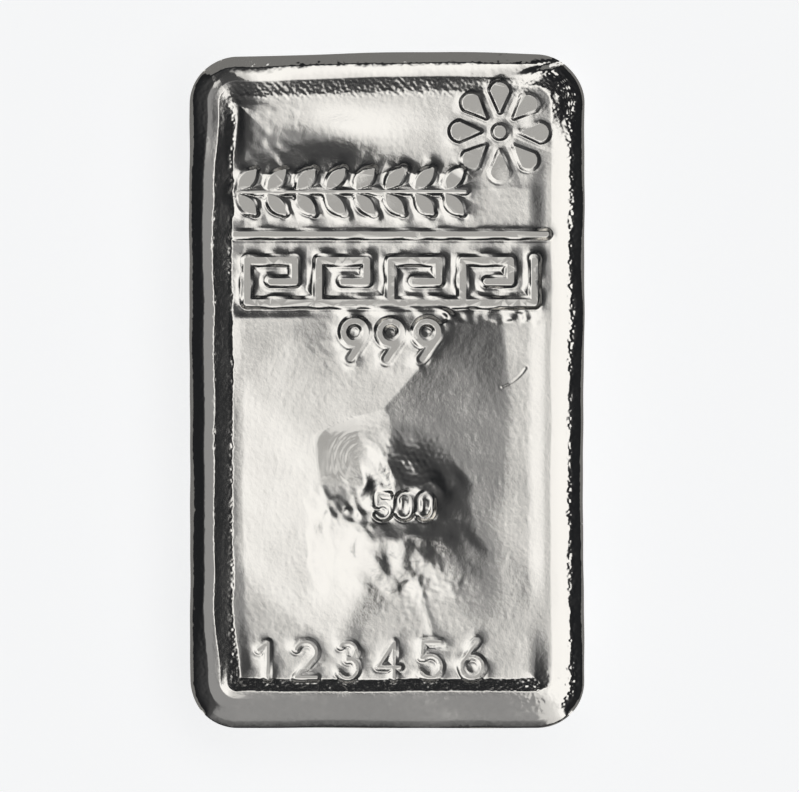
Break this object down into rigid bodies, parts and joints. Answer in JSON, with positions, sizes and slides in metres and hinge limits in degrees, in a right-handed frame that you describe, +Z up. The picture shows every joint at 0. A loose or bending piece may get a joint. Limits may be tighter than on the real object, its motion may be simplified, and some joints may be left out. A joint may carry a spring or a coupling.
{
  "type": "cast silver bar",
  "caption": "Rectangular cast silver bar with a raised rim, drafted sides and a hollowed face, which lies flat and stacks.",
  "frame": {"origin": "middle of the resting face", "axes": "+Y along the bar towards its head, +Z up out of the poured face, +X across it"},
  "size_m": [0.0516, 0.088, 0.0121],
  "materials": {
    "silver": "bright cast fine silver, brushed and slightly pitted"
  },
  "bodies": {
    "root": {"bar": "silver"}
  },
  "joints": []
}
